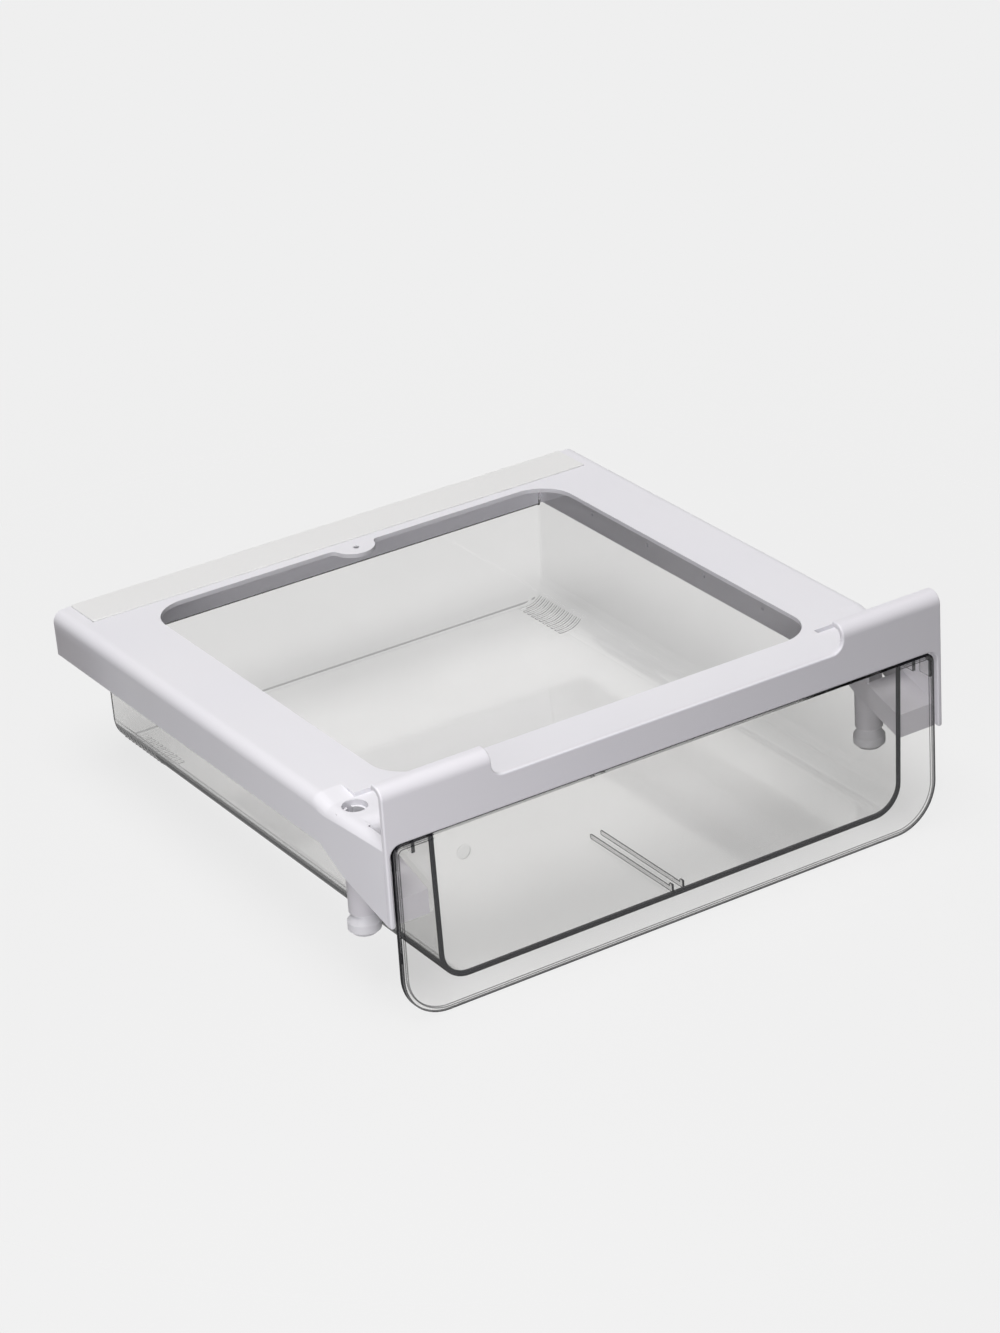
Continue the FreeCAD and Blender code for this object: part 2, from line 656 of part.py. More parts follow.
# ---------------------------------------------------------------------------------------------
# Rear trim strip
# ---------------------------------------------------------------------------------------------
strip = new_body("rear_strip")
pad(strip, "strip", "XY_Plane", top - S["strip_seat"], top + S["strip_proud"],
    round_box(-strip_half, strip_half, frame_back - S["strip_depth"], frame_back, S["strip_corner"]))
bevel_edges(strip, "strip_edges", S["strip_proud"] / 2,
            lambda edge: ends_match(edge, lambda p: near(p.z, top + S["strip_proud"])))

# ---------------------------------------------------------------------------------------------
# Feet: a turned bulb under each post with a split stud up the bore
# ---------------------------------------------------------------------------------------------
post_low = top - S["post_drop"]
neck_low = post_low - S["neck_high"]
widest = neck_low - S["bulb_top"]
sole = top - S["foot_drop"]
stud_high = top - S["stud_top"]
for side, name in SIDES:
    foot = new_body("foot_" + name)
    axis_x = post_side * side
    profile = [
        (Size.of(0), sole),
        (S["sole_radius"], sole),
        (S["bulb_radius"], sole + (S["bulb_radius"] - S["sole_radius"])),
        (S["bulb_radius"], widest),
        (S["neck_radius"], neck_low),
        (S["neck_radius"], post_low),
        (S["stud_radius"], post_low),
        (S["stud_radius"], stud_high),
        (S["stud_radius"] - S["stud_wall"], stud_high),
        (S["stud_radius"] - S["stud_wall"], post_low),
        (Size.of(0), post_low),
    ]
    sketch = new_sketch(foot, "turned_outline", "XZ_Plane", Size.of(0))
    outline(sketch, profile)
    turned = foot.newObject("PartDesign::Revolution", "turned")
    turned.Profile = sketch
    turned.ReferenceAxis = (sketch, ["V_Axis"])
    turned.Angle = 360.0
    doc.recompute()
    pocket(foot, "split", "XY_Plane", post_low + S["neck_high"], stud_high + over,
           box(-S["stud_split"] / 2, S["stud_split"] / 2, -(S["stud_radius"] + over),
               S["stud_radius"] + over))
    foot.setExpression(".Placement.Base.x", axis_x.text)
    foot.setExpression(".Placement.Base.y", post_y.text)

# ---------------------------------------------------------------------------------------------
# Drawer tub
# ---------------------------------------------------------------------------------------------
tub = new_body("drawer_tub")
wall = S["tub_wall"]
pad(tub, "tub", "XZ_Plane", tub_front, back, [
    (-tub_base_half, tub_low, S["tub_corner"]),
    (tub_base_half, tub_low, S["tub_corner"]),
    (tub_half, rim_top),
    (-tub_half, rim_top),
])
round_edges(tub, "back_round", S["tub_back_round"],
            lambda edge: ends_match(edge, lambda p: near(p.y, back) and p.z < rim_top.number - 1e-3)
            or ends_match(edge, lambda p: near(p.y, back) and abs(p.x) > tub_base_half.number))
pocket(tub, "hollow", "XZ_Plane", tub_front - over, back - wall, [
    (-(tub_base_half - wall), tub_low + wall, S["tub_corner"] - wall),
    (tub_base_half - wall, tub_low + wall, S["tub_corner"] - wall),
    (tub_half - wall, rim_top),
    (tub_half - wall, rim_top + over),
    (-(tub_half - wall), rim_top + over),
    (-(tub_half - wall), rim_top),
])
pocket(tub, "low_back", "XY_Plane", top - S["tub_back_low"], rim_top + over,
       box(-(tub_half + over), tub_half + over,
           back_foot - S["skirt_wall"] - S["run_gap"], back + over))

wing_out = panel_half - S["wing_inset"]
wing_round = S["panel_shoulder"] - S["wing_inset"]
wing_in = wing_out - S["wing_thick"]
wing_low = rim_top - S["wing_thick"]
ridge_arc = S["tub_corner"] + S["ridge_high"]
for side, name in SIDES:
    wing = [
        (tub_half - wall / 2, wing_low),
        (wing_in, wing_low, wing_round - S["wing_thick"]),
        (wing_in, rim_top - S["wing_fall"]),
        (wing_out, rim_top - S["wing_fall"]),
        (wing_out, rim_top, wing_round),
        (tub_half - wall / 2, rim_top),
    ]
    pad(tub, "wing_" + name, "XZ_Plane", tub_front, tub_front + S["wing_depth"], mirrored(side, wing))
    fin_side = tub_half + S["fin_out"]
    x_low, x_high = on_side(side, fin_side - S["fin_thick"] / 2, fin_side + S["fin_thick"] / 2)
    pad(tub, "fin_" + name, "XZ_Plane", tub_front, tub_front + S["wing_depth"],
        box(x_low, x_high, wing_low - S["fin_drop"], wing_low))
    x_low, x_high = on_side(side, S["divider_side"] - S["divider_wide"] / 2,
                            S["divider_side"] + S["divider_wide"] / 2)
    floor = tub_low + wall
    rib = [
        (tub_front, floor - wall / 2),
        (front + S["divider_back"], floor - wall / 2),
        (front + S["divider_back"], floor + S["divider_high"]),
        (tub_front + S["hook_long"], floor + S["divider_high"]),
        (tub_front + S["hook_long"], floor + S["hook_high"]),
        (tub_front, floor + S["hook_high"]),
    ]
    pad(tub, "floor_rib_" + name, "YZ_Plane", x_low, x_high, rib)
    flat_end = tub_base_half - S["tub_corner"]
    inner_arc = S["tub_corner"] - wall / 2
    outer_bend = flat_end + ridge_arc * EIGHTH_TURN
    inner_bend = flat_end + inner_arc * EIGHTH_TURN
    outer_run = (ridge_arc * EIGHTH_TURN + S["ridge_cap"]) * DIAGONAL
    inner_run = (inner_arc * EIGHTH_TURN + S["ridge_cap"]) * DIAGONAL
    ridge = [
        (flat_end - S["ridge_reach"], tub_low - S["ridge_high"]),
        (outer_bend, tub_low - S["ridge_high"], ridge_arc),
        (outer_bend + outer_run, tub_low - S["ridge_high"] + outer_run),
        (inner_bend + inner_run, tub_low + wall / 2 + inner_run),
        (inner_bend, tub_low + wall / 2, inner_arc),
        (flat_end - S["ridge_reach"], tub_low + wall / 2),
    ]
    ridge_y = back - S["ridge_first"]
    first_ridge = pad(tub, "ridge_" + name, "XZ_Plane", ridge_y - S["ridge_wide"], ridge_y,
                      mirrored(side, ridge))
    tub.Tip = first_ridge
    ridges = tub.newObject("PartDesign::LinearPattern", "ridges_" + name)
    ridges.Originals = [first_ridge]
    ridges.Direction = (first_ridge.Profile[0], ["N_Axis"])
    ridges.setExpression("Length", (S["ridge_pitch"] * (S["ridge_count"] - 1)).text)
    ridges.setExpression("Occurrences", S["ridge_count"].text)
    tub.Tip = ridges
    doc.recompute()

# ---------------------------------------------------------------------------------------------
# Drawer front panel
# ---------------------------------------------------------------------------------------------
panel = new_body("drawer_front")
panel_top = top - S["panel_drop"]
pad(panel, "panel", "XZ_Plane", front, panel_back, [
    (-panel_half, Size.of(0), S["panel_foot"]),
    (panel_half, Size.of(0), S["panel_foot"]),
    (panel_half, panel_top, S["panel_shoulder"]),
    (-panel_half, panel_top, S["panel_shoulder"]),
])
bevel_edges(panel, "front_edge", S["panel_edge"],
            lambda edge: ends_match(edge, lambda p: near(p.y, front)))
pocket_ring(panel, "gate_mark", "XZ_Plane", S["gate_side"] - panel_half, top - S["gate_drop"],
            S["gate_radius"], panel_back - S["gate_deep"], panel_back + over)

# ---------------------------------------------------------------------------------------------
# Check and write every piece
# ---------------------------------------------------------------------------------------------
doc.recompute()
for thing in doc.Objects:
    if "Invalid" in thing.State or "Error" in thing.State:
        raise RuntimeError("%s is %s" % (thing.Name, thing.State))
os.makedirs("parts", exist_ok=True)
for body in doc.Objects:
    if body.TypeId != "PartDesign::Body":
        continue
    shape = body.Shape
    if shape.isNull() or not shape.isValid() or len(shape.Solids) != 1:
        raise RuntimeError("%s is not one valid solid" % body.Label)
    shape.exportStep("parts/%s.step" % body.Label)
    print("%-14s volume %9.0f mm3, box %s" % (body.Label, shape.Volume, shape.BoundBox))
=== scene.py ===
# %% [markdown]
# # A clear drawer under a white shelf frame
#
# This notebook dresses a moulded refrigerator drawer. Every solid of it comes ready made and in
# place, so the work here is what a plastics moulder and a product photographer would do: give each
# moulding its own plastic, put the drawer on a pale table, light it softly and set up the camera.
# The solids aren't moved or reshaped.

# %% Load the solids
import math

import bpy
import numpy as np
from mathutils import Matrix, Vector


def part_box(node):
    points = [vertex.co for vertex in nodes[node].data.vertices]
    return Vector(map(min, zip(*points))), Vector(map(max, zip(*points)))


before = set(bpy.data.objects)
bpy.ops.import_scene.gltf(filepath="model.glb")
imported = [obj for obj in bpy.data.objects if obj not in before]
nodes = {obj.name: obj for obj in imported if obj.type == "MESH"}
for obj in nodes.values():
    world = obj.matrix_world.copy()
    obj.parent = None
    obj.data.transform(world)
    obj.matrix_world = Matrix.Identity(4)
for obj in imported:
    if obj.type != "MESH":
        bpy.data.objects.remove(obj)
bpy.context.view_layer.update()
print("pieces:", sorted(nodes))

# %% [markdown]
# ## Lengths
#
# Blender counts in metres and a moulder in millimetres, so MM turns one into the other. The boxes
# of three mouldings give every place that a material or the table needs: the panel's outline, the
# tub's front end and back, and the frame's half width. They could be typed in, but read from the
# solids they stay right when a size changes. A box can't tell how thick the tub's wall is, or how
# high the ridges are that the tub stands on, so those two are given.

# %% Lengths
MM = 0.001
front_low, front_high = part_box("drawer_front")
tub_low, tub_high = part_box("drawer_tub")
frame_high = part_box("shelf_frame")[1]
tub_wall = 3.6 * MM
ridge_height = 0.7 * MM
tub_floor = tub_low.z + ridge_height + tub_wall
print("plate top at %.1f mm, tub floor at %.1f mm" % (frame_high.z / MM, tub_floor / MM))

# %% [markdown]
# ## Shader maths as ordinary sums
#
# A material is a small program made of nodes. Wiring Math nodes one by one hides the sum that they
# work out, so a socket is wrapped in a class whose operators add the nodes: `1 - mask * 0.3` then
# reads as what it is. Colours go through a Mix node, because a Math node turns them grey. Every
# other node comes from one method, which takes its type, its settings and what its inputs get.


# %% A socket that can be added, multiplied and compared
class Wire:
    """An output socket of a node tree; + - * / < > and abs() add Math nodes."""

    def __init__(self, tree, socket):
        self.tree = tree
        self.socket = socket

    def _sum(self, operation, *parts):
        return self.tree.node("ShaderNodeMath", {"operation": operation}, dict(enumerate(parts)))

    def __add__(self, other):
        return self._sum("ADD", self, other)

    __radd__ = __add__

    def __sub__(self, other):
        return self._sum("SUBTRACT", self, other)

    def __rsub__(self, other):
        return self._sum("SUBTRACT", other, self)

    def __mul__(self, other):
        return self._sum("MULTIPLY", self, other)

    __rmul__ = __mul__

    def __truediv__(self, other):
        return self._sum("DIVIDE", self, other)

    def __lt__(self, other):
        return self._sum("LESS_THAN", self, other)

    def __gt__(self, other):
        return self._sum("GREATER_THAN", self, other)

    def __abs__(self):
        return self._sum("ABSOLUTE", self)

    def at_least(self, other):
        return self._sum("MAXIMUM", self, other)

    def at_most(self, other):
        return self._sum("MINIMUM", self, other)

    def root(self):
        return self._sum("SQRT", self)

    def fraction(self):
        return self._sum("FRACT", self)

    def along(self, axis):
        """The X, Y or Z of a vector."""
        return self.tree.node("ShaderNodeSeparateXYZ", {}, {0: self}, output=axis)

    def ramp(self, start, end, low, high):
        """Smooth step from low at start to high at end."""
        values = {"Value": self, "From Min": start, "From Max": end, "To Min": low, "To Max": high}
        return self.tree.node("ShaderNodeMapRange", {"interpolation_type": "SMOOTHSTEP"}, values)


# %% A tree that any node is added to by one method
class Tree:
    """The node tree of a material or world, emptied and ready to be filled."""

    def __init__(self, owner):
        owner.use_nodes = True
        self.owner = owner
        self.nodes = owner.node_tree.nodes
        self.links = owner.node_tree.links
        self.nodes.clear()

    @classmethod
    def material(cls, name):
        """The tree of a new material."""
        return cls(bpy.data.materials.new(name))

    def node(self, kind, settings=None, values=None, output=0):
        """Add a node: settings are set first, then each input is linked or given its value."""
        made = self.nodes.new(kind)
        for key, setting in (settings or {}).items():
            setattr(made, key, setting)
        for key, value in (values or {}).items():
            if isinstance(value, Wire):
                self.links.new(value.socket, made.inputs[key])
            else:
                made.inputs[key].default_value = value
        return Wire(self, made.outputs[output]) if len(made.outputs) else None

    def place(self):
        """Where a point of the surface is, in metres, in the object's own frame."""
        return self.node("ShaderNodeTexCoord", output="Object")

    def facing(self):
        """The way the surface faces, in the object's own frame."""
        return self.node("ShaderNodeTexCoord", output="Normal")

    def ray(self, which):
        """What sort of ray has come, or how often it has been thrown back or let through."""
        return self.node("ShaderNodeLightPath", output=which)

    def noise(self, scale, detail, roughness=0.5):
        """Uneven grey between 0 and 1, with scale as the number of patches to the metre."""
        values = {"Vector": self.place(), "Scale": scale, "Detail": detail, "Roughness": roughness}
        return self.node("ShaderNodeTexNoise", {"noise_dimensions": "3D"}, values)

    def spread(self, wire, low, high):
        """A noise between about 0.3 and 0.7, stretched to run from low to high."""
        values = {"Value": wire, "From Min": 0.3, "From Max": 0.7, "To Min": low, "To Max": high}
        return self.node("ShaderNodeMapRange", {"clamp": True}, values)

    def tint(self, share, first, second):
        """Colour between two colours, by a share from 0 to 1."""
        settings = {"data_type": "RGBA", "blend_type": "MIX"}
        first, second = (c if isinstance(c, Wire) else (*c, 1.0) for c in (first, second))
        return self.node("ShaderNodeMix", settings, {0: share, 6: first, 7: second}, output=2)

    def blend(self, share, first, second):
        """Shader between two shaders, by a share from 0 to 1."""
        return self.node("ShaderNodeMixShader", {}, {0: share, 1: first, 2: second})

    def finish(self, shader):
        """Put the shader on the surface and hand the material over."""
        self.node("ShaderNodeOutputMaterial", {}, {"Surface": shader})
        return self.owner


# %% [markdown]
# ## White moulded ABS
#
# The shelf frame, its fascia and the feet are white ABS from a spark-eroded mould: a satin skin
# with a very fine grain, no gloss, and a cold white that drifts by a hair over a large flat part
# because the plastic cools unevenly. The strip along the back is a separate trim, more matt and
# less cold. One flat colour would look like paper. Three noises do better: one broad for colour,
# one middling for sheen, one fine for the grain, which is bump and so catches light without
# changing the shape. Shade is painted into the frame's colour: it is greyer low in the two corners
# behind the front panel and on the rear ends of the side skirts, where those faces lie in shade.


# %% Where shade is painted on the frame
# Painted shade: the grey that is painted in, and how strongly and where, in the corners and on the
# skirts.
PAINTED_SHADE_GREY = (0.34, 0.31, 0.33)
CORNER_SHADE, CORNER_RUN, CORNER_RISE = 0.3, (-150 * MM, -105 * MM), (104 * MM, 126 * MM)
SKIRT_SHADE, SKIRT_RUN, SKIRT_RISE = 0.5, (110 * MM, 216 * MM), (117 * MM, 130 * MM)
SKIRT_SKIN = 1.5 * MM


def painted_frame_shade(tree):
    """Share of painted shade, from 0 to 1: in the corners behind the front panel it fades upwards
    and rearwards, and on the skirts' outer SKIRT_SKIN it fades upwards and forwards from the rear."""
    place = tree.place()
    x, y, z = (place.along(axis) for axis in "XYZ")
    inside = abs(x) < frame_high.x - SKIRT_SKIN
    corner = y.ramp(*CORNER_RUN, CORNER_SHADE, 0.0) * z.ramp(*CORNER_RISE, 1.0, 0.0)
    skirt = y.ramp(*SKIRT_RUN, 0.0, SKIRT_SHADE) * z.ramp(*SKIRT_RISE, 1.0, 0.0)
    return inside * corner + (1.0 - inside) * skirt


# %% White plastic
def moulded_white(name, cool, warm, sheen, grain_scale, grain_depth, shade_and_wear=None):
    """Satin plastic: broad colour drift, uneven sheen, a fine eroded grain, and painted shade if
    any.
    """
    tree = Tree.material(name)
    drift = tree.spread(tree.noise(scale=9.0, detail=1.0), 0.0, 1.0)
    colour = tree.tint(drift, cool, warm)
    # Painted shade: where the mask is 1, the colour is mixed towards that grey.
    if shade_and_wear:
        colour = tree.tint(shade_and_wear(tree), colour, PAINTED_SHADE_GREY)
    rough = tree.spread(tree.noise(scale=34.0, detail=3.0), sheen - 0.04, sheen + 0.05)
    grain = tree.noise(grain_scale, detail=3.0, roughness=0.6)
    values = {"Strength": 0.35, "Distance": grain_depth, "Height": grain}
    normal = tree.node("ShaderNodeBump", {}, values)
    shader = tree.node("ShaderNodeBsdfPrincipled", {}, {
        "Base Color": colour,
        "Roughness": rough,
        "Normal": normal,
        "IOR": 1.52,
        "Specular IOR Level": 0.42,
    })
    return tree.finish(shader)


# Only the frame gets painted shade.
frame_white = moulded_white(
    "frame_white", cool=(0.832, 0.826, 0.872), warm=(0.847, 0.84, 0.878), sheen=0.46,
    grain_scale=2600.0, grain_depth=0.04 * MM, shade_and_wear=painted_frame_shade)
fascia_white = moulded_white(
    "fascia_white", cool=(0.80, 0.79, 0.838), warm=(0.815, 0.803, 0.845), sheen=0.42,
    grain_scale=2600.0, grain_depth=0.04 * MM)
strip_white = moulded_white(
    "strip_white", cool=(0.835, 0.836, 0.833), warm=(0.85, 0.85, 0.848), sheen=0.6,
    grain_scale=1500.0, grain_depth=0.06 * MM)
foot_white = moulded_white(
    "foot_white", cool=(0.79, 0.787, 0.822), warm=(0.81, 0.807, 0.832), sheen=0.38,
    grain_scale=2200.0, grain_depth=0.03 * MM)
print("white plastics:", [m.name for m in (frame_white, fascia_white, strip_white, foot_white)])

# %% [markdown]
# ## Dark lines in clear plastic
#
# The cut edge of a clear sheet is its darkest place: light that enters there is thrown back and
# forth between the faces and never reaches the eye. On the drawer this draws the front end of the
# tub as a dark U behind the panel, wider along the floor than up the walls, gives the panel a
# double outline, and lays a dark band along the tub's lower edges, broken by the cross ridges at
# the rear. A path tracer would have to follow dozens of reflections to find them, so the lines are
# drawn as dark ink. Each function below returns a mask that is 1 where the ink may be full.


# %% Dark places of the tub
def front_end(tree, y_front, depth, inward):
    """1 on the wall's front end, and as far back as inward where it lies flat.

    A point is on it where y < y_front + depth + inward * (how much the surface faces upwards)."""
    flat = tree.facing().along("Z").at_least(0.0)
    return tree.place().along("Y") - flat * inward < y_front + depth


def cross_ridges(tree, first, pitch, width, count):
    """1 on the cross ridges at the tub's lower rear edges. The first ends at first, and the part of
    a pitch that a point lies past a ridge's front end tells whether it is on one."""
    y = tree.place().along("Y")
    past = ((y - (first - width)) / pitch).fraction()
    rearmost, foremost = first, first - width - (count - 1) * pitch
    return (past < width / pitch) * (y < rearmost) * (y > foremost)


def turned_under(tree):
    """1 where the outside curves under the tub, fading to 0 on its upright walls, and 0 on its flat
    underside. From inside the plastic the same face looks upwards, so there the mask is 0."""
    upward = tree.facing().along("Z")
    return upward.ramp(-0.34, -0.2, 1.0, 0.0) * (upward > -0.85)


def crease(tree, y_wall, z_floor, reach):
    """1 within reach of the inner corner between the back wall and the floor, where a thin line of
    painted shade goes.
    """
    place = tree.place()
    y = place.along("Y") - y_wall
    z = place.along("Z") - z_floor
    return y * y + z * z < reach * reach


# %% Dark places of the panel
FIRST_LINE, FIRST_INK = 1.1 * MM, 0.8
SECOND_LINE, SECOND_HALF_WIDTH, SECOND_INK = 3.4 * MM, 0.5 * MM, 0.6
FASCIA_START, OPEN_ENDS = 45 * MM, 30 * MM


def gate_mark(tree, x_middle, z_middle, radius):
    """1 on the round scar where the plastic ran into the panel's mould."""
    place = tree.place()
    x = place.along("X") - x_middle
    z = place.along("Z") - z_middle
    return x * x + z * z < radius * radius


def outline(tree, low, high, foot, shoulder):
    """Two thin lines that follow the edge of a panel with rounded corners.

    The distance inwards from the edge is that of a rounded rectangle: with a = |x| - half width
    + radius and b the same for z, it is radius - length(max(a, 0), max(b, 0)) - min(max(a, b), 0).
    The lower corners have the radius foot, the upper ones shoulder. The first line starts at the
    edge, the second lies further in. From FASCIA_START above the panel's middle, both are kept to
    the last OPEN_ENDS at either side, since the fascia covers the rest."""
    place = tree.place()
    middle = (low.z + high.z) / 2
    z = place.along("Z") - middle
    radius = shoulder + (z < 0.0) * (foot - shoulder)
    a = abs(place.along("X")) - high.x + radius
    b = abs(z) - (high.z - low.z) / 2 + radius
    corner_a, corner_b = a.at_least(0.0), b.at_least(0.0)
    corner = (corner_a * corner_a + corner_b * corner_b).root()
    depth = radius - corner - a.at_least(b).at_most(0.0)
    first = depth < FIRST_LINE
    second = abs(depth - SECOND_LINE) < SECOND_HALF_WIDTH
    uncovered = ((z < FASCIA_START) + (a > radius - OPEN_ENDS)).at_most(1.0)
    return (first * FIRST_INK + second * SECOND_INK) * uncovered


# %% [markdown]
# ## Clear polystyrene
#
# The drawer is clear polystyrene. It could be an almost transparent sheet, but then nothing behind
# it would shift and its faces would mirror nothing. So it is true refracting plastic, in which
# light bends at both faces. A path tracer finds very few lamps through that, and the inside would
# go black, so lamps are let through as if the wall were not there, dimmed to its own slight grey.
# The faces are not quite flat: a broad, very shallow wave moves the reflections, as it does on a
# cooled moulding, and handling has made the gloss uneven. The tub's floor is a little duller,
# rubbed by all that has lain on it.


# %% How much ink each clear piece gets
END_INK, TURN_INK, CREASE_INK, GATE_INK = 0.92, 0.6, 0.35, 0.03
RIDGE_BREAK = 0.8
FOOT_ROUNDING, SHOULDER_ROUNDING = 33 * MM, 7 * MM
gate_x, gate_z, gate_radius = front_low.x + 51.7 * MM, 107 * MM, 5 * MM
print("gate mark at %.1f mm across and %.0f mm up" % (gate_x / MM, gate_z / MM))


def tub_lines(tree):
    """Ink on the tub: its front end, its lower edges, where each ridge breaks most of the ink, and
    its rear crease."""
    ridges = cross_ridges(tree, tub_high.y - 7 * MM, pitch=5.2 * MM, width=2.2 * MM, count=11)
    return (front_end(tree, tub_low.y, depth=0.5 * MM, inward=1.2 * MM) * END_INK
            + turned_under(tree) * (1 - ridges * RIDGE_BREAK) * TURN_INK
            + crease(tree, tub_high.y - tub_wall, tub_floor, reach=1 * MM) * CREASE_INK)


def panel_lines(tree):
    """Ink on the panel: its two outlines, and hardly any on the gate mark."""
    return (outline(tree, front_low, front_high, FOOT_ROUNDING, SHOULDER_ROUNDING)
            + gate_mark(tree, gate_x, gate_z, gate_radius) * GATE_INK)


# %% Clear plastic
CLEAR_BODY = (0.872, 0.87, 0.865)
INK = (0.02, 0.02, 0.024, 1.0)
LAMP_SHARE = 0.9
FLOOR_WEAR = 0.05


def rubbed_floor(tree):
    """1 on the flat faces of the tub's floor."""
    level = abs(tree.facing().along("Z")) > 0.9
    return level * (tree.place().along("Z") < tub_floor + 0.2 * MM)


def moulded_clear(name, wave, gloss, lines, shade_and_wear=None):
    """Clear plastic with a shallow wave, faint wear and dark lines; lamps pass through, dimmed."""
    tree = Tree.material(name)
    drift = tree.spread(tree.noise(scale=14.0, detail=1.0), 0.0, 1.0)
    colour = tree.tint(drift, CLEAR_BODY, tuple(level + 0.012 for level in CLEAR_BODY))
    handling = tree.noise(scale=60.0, detail=4.0, roughness=0.6)
    worn = tree.spread(handling, gloss * 0.6, gloss * 1.5)
    if shade_and_wear:
        worn = worn + shade_and_wear(tree) * FLOOR_WEAR
    ripple = tree.noise(scale=22.0, detail=1.0)
    normal = tree.node("ShaderNodeBump", {}, {"Strength": 0.12, "Distance": wave, "Height": ripple})
    plastic = tree.node("ShaderNodeBsdfPrincipled", {}, {
        "Base Color": colour,
        "Roughness": worn,
        "Normal": normal,
        "IOR": 1.5,
        "Transmission Weight": 1.0,
    })
    ink = tree.node("ShaderNodeBsdfDiffuse", {}, {"Color": INK})
    dimmed = (LAMP_SHARE, LAMP_SHARE, LAMP_SHARE, 1.0)
    see_through = tree.node("ShaderNodeBsdfTransparent", {}, {"Color": dimmed})
    lined = tree.blend(lines(tree), plastic, ink)
    return tree.finish(tree.blend(tree.ray("Is Shadow Ray"), lined, see_through))


clear_tub = moulded_clear("clear_tub", wave=0.6 * MM, gloss=0.02, lines=tub_lines,
                          shade_and_wear=rubbed_floor)
clear_front = moulded_clear("clear_front", wave=0.5 * MM, gloss=0.015, lines=panel_lines)
print("clear plastics:", clear_tub.name, clear_front.name)

# %% [markdown]
# ## Each moulding in its plastic
#
# On the real drawer each moulding is shot in one plastic, and no paint covers it. So each solid
# gets one material, in the slot that it already has. Slots keep the mesh itself as it is.

# %% Give each moulding its plastic
PLASTICS = {
    "shelf_frame": frame_white,
    "front_fascia": fascia_white,
    "rear_strip": strip_white,
    "foot_left": foot_white,
    "foot_right": foot_white,
    "drawer_tub": clear_tub,
    "drawer_front": clear_front,
}
for name, material in PLASTICS.items():
    for slot in nodes[name].material_slots:
        slot.material = material
    print("%-13s wears %s" % (name, material.name))

# %% [markdown]
# ## The table
#
# The drawer's front panel hangs lower than its tub, so on a table the part leans back a little and
# stands on two lines: the panel's lower edge and the tub's hindmost ridges. The solids stay level
# and the table leans instead: it is one large grid that passes through both lines. It fades into
# the backdrop by becoming clear far out, so no horizon shows. A curved studio sweep would do the
# same from one side only.


# %% A table top through two lines
def table_top(reach, count, y_front, z_front, y_back, z_back):
    """Grid of count by count points from -reach to reach; height is the straight line through the
    two resting lines, z = z_front + (y - y_front) * rise."""
    rise = (z_back - z_front) / (y_back - y_front)
    across = np.linspace(-reach, reach, count)
    x, y = np.meshgrid(across, across, indexing="ij")
    z = z_front + (y - y_front) * rise
    points = np.stack([x, y, z], axis=-1).reshape(-1, 3)
    index = np.arange(count * count).reshape(count, count)
    quads = np.stack([index[:-1, :-1], index[1:, :-1], index[1:, 1:], index[:-1, 1:]], axis=-1)
    mesh = bpy.data.meshes.new("table")
    mesh.from_pydata(points.tolist(), [], quads.reshape(-1, 4).tolist())
    return bpy.data.objects.new("table", mesh), rise


rear_rest = tub_high.y - 10 * MM
table, lean = table_top(reach=6.0, count=41, y_front=front_high.y, z_front=front_low.z,
                        y_back=rear_rest, z_back=tub_low.z)
bpy.context.scene.collection.objects.link(table)
print("the part leans back by %.2f degrees" % math.degrees(math.atan(lean)))

# %% [markdown]
# ## What a ray is for
#
# Table and backdrop play two parts. They are seen, by the camera, in gloss and through the clear
# plastic, and there they are pale. They also light the part, and there they are dim, so that the
# shades of the white faces come from the lamps. The kind of ray tells the two apart. A third kind
# is caught: thrown back inside the plastic and out again. It finds next to no light, which gives
# clear walls their grey edges and soft bands.


# %% Kinds of ray
def seen_share(tree):
    """1 for rays that show a thing: from the camera, off gloss or through clear plastic; 0 for
    rays that have met a matt surface before, which only gather light."""
    shows = tree.ray("Is Camera Ray") + tree.ray("Is Glossy Ray") + tree.ray("Is Transmission Ray")
    return (shows.at_most(1.0) - tree.ray("Diffuse Depth")).at_least(0.0)


def caught_share(tree):
    """1 for rays thrown back inside clear plastic."""
    return tree.ray("Glossy Depth").at_most(1.0) * tree.ray("Transmission Depth").at_most(1.0)


# %% [markdown]
# ## A pale, matt table
#
# A painted board: matt, faintly mottled, and clear far out. Seen from the camera it has a weak matt
# part, which keeps the shadow, over a steady glow that brings it up to the backdrop. More light
# would do that too, but it would bleach the white plastics. Through the clear plastic the matt part
# is stronger, since a lit table under a lit tub shows its shadows more.


# %% Pale matt table that melts into the backdrop
def matt_grey(tree, share, grey):
    """Matt grey, mottled by share towards a grey that is two hundredths lighter."""
    darker, lighter = (tree.node("ShaderNodeBsdfDiffuse", {}, {"Color": (level, level, level, 1.0)})
                       for level in (grey, grey * 1.02))
    return tree.blend(share, darker, lighter)


def board(tree, share, grey, glow):
    """Mottled matt board with a glow on top."""
    light = tree.node("ShaderNodeEmission", {}, {"Strength": glow})
    return tree.node("ShaderNodeAddShader", {}, {0: matt_grey(tree, share, grey), 1: light})


